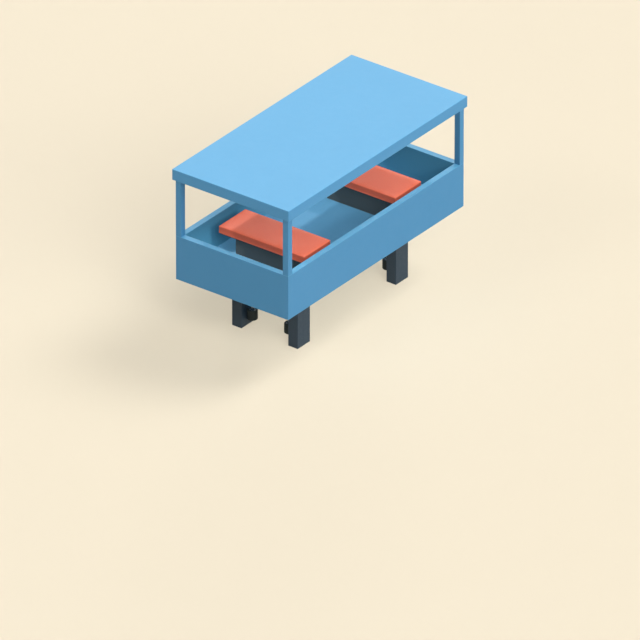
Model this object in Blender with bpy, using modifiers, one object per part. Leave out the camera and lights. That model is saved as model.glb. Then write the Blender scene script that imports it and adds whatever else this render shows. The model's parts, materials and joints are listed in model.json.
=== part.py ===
"""Open-sided straddle monorail car: a tub with two benches and a roof on four posts, carried by
two swivelling bogies.

Metres, +Z up. The origin is on the floor under the middle of the car, level with the feet of its
four guide legs. Y runs along the car, from the A end (-Y) to the B end (+Y), and looking along +Y
the left side is -X. The load wheels hang clear of the floor, between the legs.
"""

import math

import bmesh
import bpy
from mathutils import Matrix, Vector

# Driving dimensions
CAR_LENGTH = 4.000
CAR_WIDTH = 1.915
UNDERSIDE_Z = 0.920
TUB_HEIGHT = 0.677
FLOOR_DEPTH = 0.168
WALL = 0.092
POST = 0.092
ROOF_OVERHANG = 0.034
ROOF_UNDERSIDE_Z = 2.470
ROOF_EDGE = 0.166

BENCH_Y = 1.035
CUSHION_WIDTH = 1.463
CUSHION_DEPTH = 0.608
CUSHION_THICKNESS = 0.116
CUSHION_TOP_Z = 1.529
CUSHION_EDGE = 0.014
PEDESTAL_WIDTH = 0.995
PEDESTAL_SETBACK = 0.085

BOGIE_Y = 1.120
LEG_INNER_X = 0.398
LEG_OUTER_X = 0.563
LEG_LENGTH = 0.280
LEG_CORNER = 0.004

TREAD_LOW_Z = 0.435
LOAD_WHEEL_RADIUS = 0.175
LOAD_WHEEL_WIDTH = 0.100
LOAD_WHEEL_X = 0.115
ROLLER_X = 0.317
ROLLER_RADIUS = 0.075
ROLLER_LOW_Z = 0.123
ROLLER_HIGH_Z = 0.273

# Sheet and section thicknesses; a seam parts two pieces that touch, and joined shapes lap each other
SEAM = 0.0003
LAP = 0.010
DECK_SHEET = 0.018
SILL_WIDTH = 0.080
PIVOT_BEAM_WIDTH = 0.300
MIDDLE_BEAM_WIDTH = 0.090
ROOF_SKIN = 0.025
ROOF_RAIL_HEIGHT = 0.060
ROOF_BOW_WIDTH = 0.070
ROOF_CORNER = 0.006
SEAT_PAN = 0.012
SEAT_PAN_RECESS = 0.040
PEDESTAL_WALL = 0.020

# Bogie sections
BOLSTER_LOW_Z = 0.800
BOLSTER_HIGH_Z = 0.895
PIVOT_PAD_RADIUS = 0.130
PIVOT_PAD = 0.012
KINGPIN_RADIUS = 0.030
KINGPIN_TOP_Z = 1.020
KINGPIN_HEADROOM = 0.005
SIDE_BEARER = (0.080, 0.120, 0.014)
SIDE_BEARER_X = 0.450
GUSSET_SIDE = 0.120
GUSSET_PLATE = 0.012
GUSSET_Y = 0.110
HANGER_X = 0.190
HANGER_PLATE = 0.025
HANGER_WIDTH = 0.130
AXLE_RADIUS = 0.022
AXLE_END_X = 0.226
BORE_RADIUS = 0.0226
RIM_WEB = 0.024
RIM_LIP = 0.012
HUB_RADIUS = 0.042
HUB_INSET = 0.004
TYRE_SHOULDER = 0.014
RIM_RADIUS = 0.105
ROLLER_PIN_RADIUS = 0.012
ROLLER_BORE_RADIUS = 0.0126
FORK_LUG = 0.012
FORK_CLEARANCE = 0.006
FORK_HALF_WIDTH = 0.026
PIN_END = 0.006
ROLLER_SHOULDER = 0.010

# Drive unit on the A-end bogie
GEARBOX_LOW = (-0.048, -0.085, -0.095)
GEARBOX_HIGH = (0.048, 0.195, 0.095)
MOTOR_RADIUS = 0.078
MOTOR_START_Y = 0.188
MOTOR_END_Y = 0.450
MOTOR_FINS = 6
MOTOR_FIN_DEPTH = 0.010
MOTOR_END_CAP = 0.040
TORQUE_ARM = (0.060, 0.080)
CASTING_EDGE = 0.012

ROUND_STEPS = 32
SMALL_STEPS = 24

RIM_Z = UNDERSIDE_Z + TUB_HEIGHT
FLOOR_Z = UNDERSIDE_Z + FLOOR_DEPTH
DECK_LOW_Z = FLOOR_Z - DECK_SHEET
HALF_LENGTH = CAR_LENGTH / 2
HALF_WIDTH = CAR_WIDTH / 2
INNER_X = HALF_WIDTH - WALL
INNER_Y = HALF_LENGTH - WALL
ROOF_TOP_Z = ROOF_UNDERSIDE_Z + ROOF_EDGE
RAIL_HIGH_Z = ROOF_TOP_Z - ROOF_SKIN - SEAM
RAIL_LOW_Z = RAIL_HIGH_Z - ROOF_RAIL_HEIGHT
AXLE_Z = TREAD_LOW_Z + LOAD_WHEEL_RADIUS

# name: (base colour, roughness, metallic)
MATERIALS = {
    "body_paint": ((0.20, 0.46, 0.72), 0.45, 0.0),
    "bench_vinyl": ((0.78, 0.17, 0.12), 0.60, 0.0),
    "dark_steel": ((0.055, 0.075, 0.095), 0.55, 0.3),
    "tyre_rubber": ((0.015, 0.018, 0.018), 0.85, 0.0),
    "bare_steel": ((0.52, 0.53, 0.54), 0.38, 1.0),
    "drive_casing": ((0.20, 0.22, 0.24), 0.50, 0.5),
}

ENDS = (("a", -1), ("b", 1))
SIDES = (("left", -1), ("right", 1))


def new_collection(name):
    collection = bpy.data.collections.new(name)
    bpy.context.scene.collection.children.link(collection)
    return collection


def make_materials():
    made = {}
    for name, (colour, roughness, metallic) in MATERIALS.items():
        material = bpy.data.materials.new(name)
        material.use_nodes = True
        shader = material.node_tree.nodes["Principled BSDF"]
        shader.inputs["Base Color"].default_value = (*colour, 1.0)
        shader.inputs["Roughness"].default_value = roughness
        shader.inputs["Metallic"].default_value = metallic
        made[name] = material
    return made


for startup_object in list(bpy.data.objects):
    bpy.data.objects.remove(startup_object, do_unlink=True)

CAR = new_collection("monorail_car")
HELPERS = new_collection("helpers")
PAINTS = make_materials()


def add_object(name, mesh, place, parent, material):
    """A part where a material is named, or else a hidden helper for a Boolean."""
    obj = bpy.data.objects.new(name, mesh)
    obj.location = place
    obj.parent = parent
    if material:
        mesh.materials.append(PAINTS[material])
        CAR.objects.link(obj)
    else:
        obj.hide_render = True
        obj.display_type = "WIRE"
        HELPERS.objects.link(obj)
    return obj


def add_empty(name, place, parent=None):
    empty = bpy.data.objects.new(name, None)
    empty.location = place
    empty.parent = parent
    empty.empty_display_size = 0.1
    CAR.objects.link(empty)
    return empty


def mesh_from(name, build):
    """A mesh from one bmesh builder function, with its normals facing out."""
    sheet = bmesh.new()
    build(sheet)
    bmesh.ops.recalc_face_normals(sheet, faces=sheet.faces)
    mesh = bpy.data.meshes.new(name)
    sheet.to_mesh(mesh)
    sheet.free()
    return mesh


def bevel_edges(obj, width, segments=1):
    modifier = obj.modifiers.new("bevel", "BEVEL")
    modifier.width = width
    modifier.segments = segments
    modifier.limit_method = "ANGLE"


def box(name, low, high, material=None, parent=None, bevel=0.0, segments=1):
    """A box between two corners, its origin at its middle."""
    low, high = Vector(low), Vector(high)

    def build(sheet):
        bmesh.ops.create_cube(sheet, size=1.0)
        bmesh.ops.scale(sheet, vec=high - low, verts=sheet.verts)

    obj = add_object(name, mesh_from(name, build), (low + high) / 2, parent, material)
    if bevel:
        bevel_edges(obj, bevel, segments)
    return obj


def cylinder(name, centre, radius, depth, axis, material=None, parent=None, steps=ROUND_STEPS):
    """A round bar along X, Y or Z, its origin at its middle."""
    turn = {"X": Matrix.Rotation(math.pi / 2, 3, "Y"), "Y": Matrix.Rotation(math.pi / 2, 3, "X")}

    def build(sheet):
        bmesh.ops.create_cone(
            sheet, cap_ends=True, segments=steps, radius1=radius, radius2=radius, depth=depth
        )
        if axis in turn:
            bmesh.ops.rotate(sheet, matrix=turn[axis], verts=sheet.verts)

    obj = add_object(name, mesh_from(name, build), centre, parent, material)
    smooth(obj.data)
    return obj


def prism(name, outline, low_y, high_y, material=None, parent=None):
    """An outline of (x, z) points drawn out along Y."""

    def build(sheet):
        corners = [sheet.verts.new((x, low_y, z)) for x, z in outline]
        face = sheet.faces.new(corners)
        drawn = bmesh.ops.extrude_face_region(sheet, geom=[face])
        moved = [v for v in drawn["geom"] if isinstance(v, bmesh.types.BMVert)]
        bmesh.ops.translate(sheet, vec=(0, high_y - low_y, 0), verts=moved)

    return add_object(name, mesh_from(name, build), (0, 0, 0), parent, material)


def turned(name, profile, centre, axis, material=None, parent=None, closed=False, steps=ROUND_STEPS):
    """A turned piece. The profile's (radius, height) points run down its outer side, top to bottom."""
    mesh = bpy.data.meshes.new(name)
    count = len(profile)
    edges = [(i, i + 1) for i in range(count - 1)] + ([(count - 1, 0)] if closed else [])
    mesh.from_pydata([(radius, 0.0, height) for radius, height in profile], edges, [])
    obj = add_object(name, mesh, centre, parent, material)
    if axis == "X":
        obj.rotation_euler = (0, math.pi / 2, 0)
    if axis == "Y":
        obj.rotation_euler = (-math.pi / 2, 0, 0)
    screw = obj.modifiers.new("turn", "SCREW")
    screw.steps = steps
    screw.render_steps = steps
    screw.use_merge_vertices = True
    screw.merge_threshold = 0.0001
    screw.use_smooth_shade = True
    return obj


def smooth(mesh, angle=35):
    mesh.shade_smooth()
    mesh.set_sharp_from_angle(angle=math.radians(angle))


def combine(base, operation, *tools):
    """Joins the tools to the base, or cuts them from it."""
    for tool in tools:
        modifier = base.modifiers.new(tool.name, "BOOLEAN")
        modifier.operation = operation
        modifier.solver = "EXACT"
        modifier.object = tool


def make_underframe():
    for side, sign in SIDES:
        xs = sorted((sign * (INNER_X - SEAM), sign * (INNER_X - SILL_WIDTH)))
        box(
            f"sill_{side}",
            (xs[0], -INNER_Y + SEAM, UNDERSIDE_Z),
            (xs[1], INNER_Y - SEAM, DECK_LOW_Z - SEAM),
            "dark_steel",
        )
    beam_x = INNER_X - SILL_WIDTH - SEAM
    for end, sign in ENDS:
        middle = sign * BOGIE_Y
        beam = box(
            f"pivot_beam_{end}",
            (-beam_x, middle - PIVOT_BEAM_WIDTH / 2, UNDERSIDE_Z),
            (beam_x, middle + PIVOT_BEAM_WIDTH / 2, DECK_LOW_Z - SEAM),
            "dark_steel",
        )
        pad = cylinder(
            f"pivot_pad_{end}",
            (0, middle, UNDERSIDE_Z),
            PIVOT_PAD_RADIUS,
            2 * PIVOT_PAD,
            "Z",
        )
        bore = cylinder(
            f"kingpin_bore_{end}",
            (0, middle, UNDERSIDE_Z),
            KINGPIN_RADIUS + 2 * SEAM,
            2 * (KINGPIN_TOP_Z + KINGPIN_HEADROOM - UNDERSIDE_Z),
            "Z",
        )
        combine(beam, "UNION", pad)
        combine(beam, "DIFFERENCE", bore)
    box(
        "middle_beam",
        (-beam_x, -MIDDLE_BEAM_WIDTH / 2, UNDERSIDE_Z),
        (beam_x, MIDDLE_BEAM_WIDTH / 2, DECK_LOW_Z - SEAM),
        "dark_steel",
    )
    box(
        "floor_deck",
        (-INNER_X + SEAM, -INNER_Y + SEAM, DECK_LOW_Z),
        (INNER_X - SEAM, INNER_Y - SEAM, FLOOR_Z),
        "body_paint",
    )


def make_tub():
    for side, sign in SIDES:
        xs = sorted((sign * INNER_X, sign * HALF_WIDTH))
        box(
            f"wall_{side}",
            (xs[0], -INNER_Y + SEAM, UNDERSIDE_Z),
            (xs[1], INNER_Y - SEAM, RIM_Z),
            "body_paint",
        )
    for end, sign in ENDS:
        ys = sorted((sign * INNER_Y, sign * HALF_LENGTH))
        box(
            f"wall_{end}_end",
            (-INNER_X + SEAM, ys[0], UNDERSIDE_Z),
            (INNER_X - SEAM, ys[1], RIM_Z),
            "body_paint",
        )
    for end, along in ENDS:
        for side, across in SIDES:
            xs = sorted((across * (HALF_WIDTH - POST), across * HALF_WIDTH))
            ys = sorted((along * (HALF_LENGTH - POST), along * HALF_LENGTH))
            box(
                f"post_{end}_{side}",
                (xs[0], ys[0], UNDERSIDE_Z),
                (xs[1], ys[1], RAIL_LOW_Z - SEAM),
                "body_paint",
            )


def make_roof():
    edge_x = HALF_WIDTH + ROOF_OVERHANG
    edge_y = HALF_LENGTH + ROOF_OVERHANG
    shell = box(
        "roof_shell",
        (-edge_x, -edge_y, ROOF_UNDERSIDE_Z),
        (edge_x, edge_y, ROOF_TOP_Z),
        "body_paint",
        bevel=ROOF_CORNER,
    )
    hollow = box(
        "roof_hollow",
        (-edge_x + ROOF_SKIN, -edge_y + ROOF_SKIN, ROOF_UNDERSIDE_Z - ROOF_EDGE),
        (edge_x - ROOF_SKIN, edge_y - ROOF_SKIN, ROOF_TOP_Z - ROOF_SKIN),
    )
    combine(shell, "DIFFERENCE", hollow)
    for side, sign in SIDES:
        xs = sorted((sign * (HALF_WIDTH - POST), sign * HALF_WIDTH))
        box(
            f"roof_rail_{side}",
            (xs[0], -HALF_LENGTH, RAIL_LOW_Z),
            (xs[1], HALF_LENGTH, RAIL_HIGH_Z),
            "body_paint",
        )
    bow_x = HALF_WIDTH - POST - SEAM
    for name, middle in (
        ("a", -HALF_LENGTH + POST / 2),
        ("middle", 0.0),
        ("b", HALF_LENGTH - POST / 2),
    ):
        box(
            f"roof_bow_{name}",
            (-bow_x, middle - ROOF_BOW_WIDTH / 2, RAIL_LOW_Z),
            (bow_x, middle + ROOF_BOW_WIDTH / 2, RAIL_HIGH_Z),
            "body_paint",
        )


def make_benches():
    cushion_low_z = CUSHION_TOP_Z - CUSHION_THICKNESS
    pan_low_z = cushion_low_z - SEAT_PAN - SEAM
    half_cushion = (CUSHION_WIDTH / 2, CUSHION_DEPTH / 2)
    half_foot = (PEDESTAL_WIDTH / 2, CUSHION_DEPTH / 2 - PEDESTAL_SETBACK)
    for end, sign in ENDS:
        y = sign * BENCH_Y
        box(
            f"cushion_{end}",
            (-half_cushion[0], y - half_cushion[1], cushion_low_z),
            (half_cushion[0], y + half_cushion[1], CUSHION_TOP_Z),
            "bench_vinyl",
            bevel=CUSHION_EDGE,
            segments=2,
        )
        pedestal = box(
            f"bench_pedestal_{end}",
            (-half_foot[0], y - half_foot[1], FLOOR_Z + SEAM),
            (half_foot[0], y + half_foot[1], pan_low_z + SEAT_PAN / 2),
            "dark_steel",
        )
        half_pan = (half_cushion[0] - SEAT_PAN_RECESS, half_cushion[1] - SEAT_PAN_RECESS)
        pan = box(
            f"seat_pan_{end}",
            (-half_pan[0], y - half_pan[1], pan_low_z),
            (half_pan[0], y + half_pan[1], cushion_low_z - SEAM),
        )
        locker = box(
            f"locker_{end}",
            (-half_foot[0] + PEDESTAL_WALL, y - half_foot[1] + PEDESTAL_WALL, DECK_LOW_Z),
            (half_foot[0] - PEDESTAL_WALL, y + half_foot[1] - PEDESTAL_WALL, pan_low_z - PEDESTAL_WALL),
        )
        combine(pedestal, "UNION", pan)
        combine(pedestal, "DIFFERENCE", locker)


def make_bogie_frame(end, bogie):
    """The bolster, with its axle hangers, leg gussets, side bearers, pivot pad and kingpin."""
    frame = box(
        f"bogie_frame_{end}",
        (-LEG_OUTER_X, -LEG_LENGTH / 2, BOLSTER_LOW_Z),
        (LEG_OUTER_X, LEG_LENGTH / 2, BOLSTER_HIGH_Z),
        "dark_steel",
        bogie,
    )
    joined, cut = [], []
    low_z = BOLSTER_HIGH_Z - LAP
    for name, radius, high_z in (
        ("bogie_pad", PIVOT_PAD_RADIUS, UNDERSIDE_Z - PIVOT_PAD - SEAM),
        ("kingpin", KINGPIN_RADIUS, KINGPIN_TOP_Z),
    ):
        middle = (0, 0, (low_z + high_z) / 2)
        joined.append(cylinder(f"{name}_{end}", middle, radius, high_z - low_z, "Z", parent=bogie))
    for side, sign in SIDES:
        bearer = Vector(SIDE_BEARER) / 2
        joined.append(
            box(
                f"side_bearer_{end}_{side}",
                (sign * SIDE_BEARER_X - bearer.x, -bearer.y, BOLSTER_HIGH_Z - LAP),
                (sign * SIDE_BEARER_X + bearer.x, bearer.y, BOLSTER_HIGH_Z + SIDE_BEARER[2]),
                parent=bogie,
            )
        )
        xs = sorted((sign * HANGER_X, sign * (HANGER_X + HANGER_PLATE)))
        joined.append(
            box(
                f"hanger_{end}_{side}",
                (xs[0], -HANGER_WIDTH / 2, AXLE_Z),
                (xs[1], HANGER_WIDTH / 2, BOLSTER_LOW_Z + LAP),
                parent=bogie,
            )
        )
        joined.append(
            cylinder(
                f"hanger_boss_{end}_{side}",
                (sum(xs) / 2, 0, AXLE_Z),
                HANGER_WIDTH / 2,
                HANGER_PLATE,
                "X",
                parent=bogie,
            )
        )
        cut.append(
            cylinder(
                f"axle_bore_{end}_{side}",
                (sum(xs) / 2, 0, AXLE_Z),
                BORE_RADIUS,
                4 * HANGER_PLATE,
                "X",
                parent=bogie,
            )
        )
        root_x = sign * (LEG_INNER_X - SEAM)
        outline = [
            (root_x, BOLSTER_LOW_Z + LAP),
            (root_x, BOLSTER_LOW_Z - GUSSET_SIDE),
            (root_x - sign * GUSSET_SIDE, BOLSTER_LOW_Z),
            (root_x - sign * GUSSET_SIDE, BOLSTER_LOW_Z + LAP),
        ]
        for number, middle in enumerate((-GUSSET_Y, GUSSET_Y)):
            joined.append(
                prism(
                    f"gusset_{end}_{side}_{number}",
                    outline,
                    middle - GUSSET_PLATE / 2,
                    middle + GUSSET_PLATE / 2,
                    parent=bogie,
                )
            )
    combine(frame, "UNION", *joined)
    combine(frame, "DIFFERENCE", *cut)


def make_legs(end, bogie):
    for side, sign in SIDES:
        xs = sorted((sign * LEG_INNER_X, sign * LEG_OUTER_X))
        box(
            f"leg_{end}_{side}",
            (xs[0], -LEG_LENGTH / 2, 0.0),
            (xs[1], LEG_LENGTH / 2, BOLSTER_LOW_Z - SEAM),
            "dark_steel",
            bogie,
            bevel=LEG_CORNER,
        )


def wheelset_profile():
    """(radius, distance along the axle), from the right end of the axle to the left one."""
    outer = LOAD_WHEEL_X + LOAD_WHEEL_WIDTH / 2
    inner = LOAD_WHEEL_X - LOAD_WHEEL_WIDTH / 2
    web_outer = LOAD_WHEEL_X + RIM_WEB / 2
    web_inner = LOAD_WHEEL_X - RIM_WEB / 2
    lip_radius = RIM_RADIUS - RIM_LIP
    right = [
        (0.0, AXLE_END_X),
        (AXLE_RADIUS, AXLE_END_X),
        (AXLE_RADIUS, outer),
        (HUB_RADIUS, outer),
        (HUB_RADIUS, web_outer),
        (lip_radius, web_outer),
        (lip_radius, outer),
        (RIM_RADIUS, outer),
        (RIM_RADIUS, inner),
        (lip_radius, inner),
        (lip_radius, web_inner),
        (HUB_RADIUS, web_inner),
        (HUB_RADIUS, inner + HUB_INSET),
        (AXLE_RADIUS, inner + HUB_INSET),
    ]
    return right + [(radius, -height) for radius, height in reversed(right)]


def ring_profile(inner, outer, low, high, shoulder):
    """A ring's section, down its outer side and back up its bore."""
    return [
        (inner, high),
        (outer - shoulder, high),
        (outer - shoulder / 4, high - shoulder / 3),
        (outer, high - shoulder),
        (outer, low + shoulder),
        (outer - shoulder / 4, low + shoulder / 3),
        (outer - shoulder, low),
        (inner, low),
    ]


def make_wheelset(end, bogie):
    axle = add_empty(f"axle_centre_{end}", (0, 0, AXLE_Z), bogie)
    turned(f"load_axle_{end}", wheelset_profile(), (0, 0, 0), "X", "bare_steel", axle)
    half = LOAD_WHEEL_WIDTH / 2
    tyre = ring_profile(RIM_RADIUS + SEAM, LOAD_WHEEL_RADIUS, -half, half, TYRE_SHOULDER)
    for side, sign in SIDES:
        place = (sign * LOAD_WHEEL_X, 0, 0)
        turned(f"load_tyre_{end}_{side}", tyre, place, "X", "tyre_rubber", axle, closed=True)


def make_guide_roller(end, side, sign, bogie):
    """A roller on an upright pin, held between two lugs on the inner face of the leg."""
    centre = add_empty(f"roller_centre_{end}_{side}", (sign * ROLLER_X, 0, 0), bogie)
    ring = ring_profile(
        ROLLER_BORE_RADIUS, ROLLER_RADIUS, ROLLER_LOW_Z, ROLLER_HIGH_Z, ROLLER_SHOULDER
    )
    turned(
        f"guide_roller_{end}_{side}",
        ring,
        (0, 0, 0),
        "Z",
        "tyre_rubber",
        centre,
        closed=True,
    )
    lug_low_z = ROLLER_LOW_Z - FORK_CLEARANCE - FORK_LUG
    lug_high_z = ROLLER_HIGH_Z + FORK_CLEARANCE + FORK_LUG
    collar_z = ROLLER_LOW_Z - 2 * SEAM
    collar_radius = 2 * ROLLER_PIN_RADIUS
    pin = turned(
        f"roller_fork_{end}_{side}",
        [
            (0.0, lug_high_z + PIN_END),
            (ROLLER_PIN_RADIUS, lug_high_z + PIN_END),
            (ROLLER_PIN_RADIUS, collar_z),
            (collar_radius, collar_z),
            (collar_radius, lug_low_z + FORK_LUG / 2),
            (ROLLER_PIN_RADIUS, lug_low_z + FORK_LUG / 2),
            (ROLLER_PIN_RADIUS, lug_low_z - PIN_END),
            (0.0, lug_low_z - PIN_END),
        ],
        (0, 0, 0),
        "Z",
        "dark_steel",
        centre,
        steps=SMALL_STEPS,
    )
    leg_face = sign * (LEG_INNER_X - SEAM - ROLLER_X)
    for name, low_z in (("low", lug_low_z), ("high", lug_high_z - FORK_LUG)):
        strap = box(
            f"lug_{name}_{end}_{side}",
            (min(0.0, leg_face), -FORK_HALF_WIDTH, low_z),
            (max(0.0, leg_face), FORK_HALF_WIDTH, low_z + FORK_LUG),
            parent=centre,
        )
        nose = cylinder(
            f"lug_nose_{name}_{end}_{side}",
            (0, 0, low_z + FORK_LUG / 2),
            FORK_HALF_WIDTH,
            FORK_LUG,
            "Z",
            parent=centre,
            steps=SMALL_STEPS,
        )
        combine(pin, "UNION", strap, nose)


def make_drive_unit(bogie):
    """A gearbox on the axle between the load wheels, its finned motor lying inboard."""
    centre = Vector((0, 0, AXLE_Z))
    gearbox = box(
        "drive_unit",
        centre + Vector(GEARBOX_LOW),
        centre + Vector(GEARBOX_HIGH),
        "drive_casing",
        bogie,
        bevel=CASTING_EDGE,
    )
    torque_arm = box(
        "torque_arm",
        (-TORQUE_ARM[0] / 2, -TORQUE_ARM[1] / 2, AXLE_Z),
        (TORQUE_ARM[0] / 2, TORQUE_ARM[1] / 2, BOLSTER_LOW_Z - SEAM),
        parent=bogie,
    )
    length = MOTOR_END_Y - MOTOR_START_Y
    root_radius = MOTOR_RADIUS - MOTOR_FIN_DEPTH
    profile = [
        (0.0, length),
        (root_radius - CASTING_EDGE, length),
        (root_radius, length - CASTING_EDGE),
    ]
    pitch = (length - 2 * MOTOR_END_CAP) / MOTOR_FINS
    for fin in range(MOTOR_FINS):
        top = length - MOTOR_END_CAP - fin * pitch
        profile += [
            (root_radius, top),
            (MOTOR_RADIUS, top),
            (MOTOR_RADIUS, top - pitch / 2),
            (root_radius, top - pitch / 2),
        ]
    profile += [(root_radius, 0.0), (0.0, 0.0)]
    motor = turned(
        "motor",
        profile,
        (0, MOTOR_START_Y, AXLE_Z),
        "Y",
        parent=bogie,
        steps=SMALL_STEPS,
    )
    bore = cylinder(
        "gearbox_bore",
        (0, 0, AXLE_Z),
        BORE_RADIUS,
        4 * GEARBOX_HIGH[0],
        "X",
        parent=bogie,
    )
    combine(gearbox, "UNION", torque_arm, motor)
    combine(gearbox, "DIFFERENCE", bore)


def make_bogies():
    for end, along in ENDS:
        bogie = add_empty(f"bogie_pivot_{end}", (0, along * BOGIE_Y, 0))
        make_bogie_frame(end, bogie)
        make_legs(end, bogie)
        make_wheelset(end, bogie)
        for side, across in SIDES:
            make_guide_roller(end, side, across, bogie)
        if end == "a":
            make_drive_unit(bogie)


make_underframe()
make_tub()
make_roof()
make_benches()
make_bogies()
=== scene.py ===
import json
from itertools import product
from math import cos, pi, radians, sin, sqrt

import bmesh
import bpy
from mathutils import Matrix, Vector
from mathutils.bvhtree import BVHTree

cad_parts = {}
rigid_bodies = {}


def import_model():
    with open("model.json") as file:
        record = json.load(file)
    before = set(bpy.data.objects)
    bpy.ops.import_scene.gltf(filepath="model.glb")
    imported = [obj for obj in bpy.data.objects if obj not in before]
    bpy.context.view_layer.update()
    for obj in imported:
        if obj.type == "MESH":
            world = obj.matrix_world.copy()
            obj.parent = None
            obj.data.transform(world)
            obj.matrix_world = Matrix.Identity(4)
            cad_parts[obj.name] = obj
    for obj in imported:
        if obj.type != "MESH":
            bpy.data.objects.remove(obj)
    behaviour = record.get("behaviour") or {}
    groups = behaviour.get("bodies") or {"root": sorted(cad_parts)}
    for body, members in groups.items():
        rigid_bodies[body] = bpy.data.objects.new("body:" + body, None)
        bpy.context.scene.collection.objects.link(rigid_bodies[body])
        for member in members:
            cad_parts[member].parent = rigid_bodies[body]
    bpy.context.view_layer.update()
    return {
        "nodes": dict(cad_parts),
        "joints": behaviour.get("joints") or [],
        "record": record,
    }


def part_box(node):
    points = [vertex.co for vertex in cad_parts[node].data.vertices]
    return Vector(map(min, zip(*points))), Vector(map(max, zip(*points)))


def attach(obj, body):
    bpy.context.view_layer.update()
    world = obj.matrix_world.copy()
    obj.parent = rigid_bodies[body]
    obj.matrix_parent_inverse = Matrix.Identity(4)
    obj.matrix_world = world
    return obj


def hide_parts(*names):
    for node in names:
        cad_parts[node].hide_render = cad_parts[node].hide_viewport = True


for leftover in list(bpy.data.objects):
    bpy.data.objects.remove(leftover)

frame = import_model()
print("frame loaded:", len(frame["nodes"]), "nodes")

scene = bpy.context.scene
ends = ("a", "b")                 # the A end lies towards -Y
sides = {"left": -1, "right": 1}  # the right side lies towards +X
carBody = "car_body"
pivots = {joint["child"]: Vector(joint["pos_m"]) for joint in frame["joints"]}

# boxes that drive the dressing, each from its lowest to its highest corner
wallBox, endWallBox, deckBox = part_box("wall_right"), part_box("wall_b_end"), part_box("floor_deck")
roofBox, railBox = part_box("roof_shell"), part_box("roof_rail_right")
inner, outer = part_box("post_b_right")   # inside and outside; inner.z is the tub's underside
tubRim, deckTop = wallBox[1].z, deckBox[1].z
up, down = (0, 0, 1), (0, 0, -1)


def symmetric(*values):
    return [-value for value in reversed(values)] + list(values)


def evenly(low, high, count):
    return [low + (high - low) * step / (count - 1) for step in range(count)]


# Shader and geometry nodes

def addNode(tree, kind, settings=None, **sockets):
    # a socket is given by its name, or by its number as at0, at1 and so on
    node = tree.nodes.new(kind)
    for key, value in (settings or {}).items():
        setattr(node, key, value)
    for key, value in sockets.items():
        socket = node.inputs[int(key[2:]) if key.startswith("at") else key.replace("_", " ")]
        if isinstance(value, bpy.types.NodeSocket):
            tree.links.new(value, socket)
        else:
            socket.default_value = value
    return node


def nodeOut(tree, kind, settings=None, **sockets):
    return addNode(tree, kind, settings, **sockets).outputs[0]


def valueOf(tree, operation, *values):
    inputs = {f"at{number}": value for number, value in enumerate(values)}
    return nodeOut(tree, "ShaderNodeMath", {"operation": operation}, **inputs)


def noiseAt(tree, place, scale, detail=2.0, roughness=0.5):
    return nodeOut(tree, "ShaderNodeTexNoise", Vector=place, Scale=scale, Detail=detail,
                   Roughness=roughness)


def spread(tree, value, low, high, start=0.35, stop=0.65):
    # maps a noise's middle range to low..high
    return nodeOut(tree, "ShaderNodeMapRange", Value=value, From_Min=start, From_Max=stop,
                   To_Min=low, To_Max=high)


def blendColours(tree, share, *colours):
    # from the first colour to the second, each three numbers or a socket
    first, second = (colour if isinstance(colour, bpy.types.NodeSocket) else (*colour, 1)
                     for colour in colours)
    return addNode(tree, "ShaderNodeMix", {"data_type": "RGBA"}, at0=share, at6=first,
                   at7=second).outputs[2]


def insideOf(tree, place, low, high):
    # 1 inside the box between two corners, else 0
    middle, half = (low + high) / 2, (high - low) / 2
    axes = addNode(tree, "ShaderNodeSeparateXYZ", Vector=place).outputs
    share = 1.0
    for axis in range(3):
        within = valueOf(tree, "COMPARE", axes[axis], middle[axis], half[axis])
        share = valueOf(tree, "MULTIPLY", share, within)
    return share


finishes = {}


def newFinish(name, look):
    finishes[name] = material = bpy.data.materials.new(name)
    material.use_nodes = True
    tree = material.node_tree
    shader = tree.nodes["Principled BSDF"]
    shader.inputs["Metallic"].default_value = look.get("metallic", 0)
    shader.inputs["Specular IOR Level"].default_value = look.get("specular", 0.5)
    return tree, shader, addNode(tree, "ShaderNodeTexCoord").outputs["Object"]


def endFinish(tree, shader, colour, roughness, *reliefs):
    # reliefs are (height, depth), each laid on the one before
    normal = {}
    for height, depth in reliefs:
        bump = nodeOut(tree, "ShaderNodeBump", Height=height, Strength=1.0, Distance=depth,
                       **normal)
        normal = {"Normal": bump}
    for socket, value in (("Base Color", colour), ("Roughness", roughness), ("Normal", bump)):
        tree.links.new(value, shader.inputs[socket])


def makeEnamel(name, look):
    # sprayed enamel: cloudy tone, settled dust, orange peel, and in each painted light zone another
    # tone, a painted light or painted shade
    tree, shader, place = newFinish(name, look)
    clouds = noiseAt(tree, place, look["cloudScale"], 3)
    specks = noiseAt(tree, place, look["dustScale"], 8, 0.7)
    tone = blendColours(tree, spread(tree, clouds, 0, 1), look["colour"], look["faded"])
    # each zone's tone is a painted light or a painted shade
    for low, high, colour in look.get("paintedLightZones", ()):
        tone = blendColours(tree, insideOf(tree, place, low, high), tone, colour)
    dusty = spread(tree, specks, 0, look["dust"], 0.45, 0.8)
    endFinish(tree, shader, blendColours(tree, dusty, tone, look["dustColour"]),
              spread(tree, specks, *look["roughness"]),
              (noiseAt(tree, place, look["swellScale"], 1), look["swellDepth"]),
              (noiseAt(tree, place, look["peelScale"], 2), look["peelDepth"]))


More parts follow.
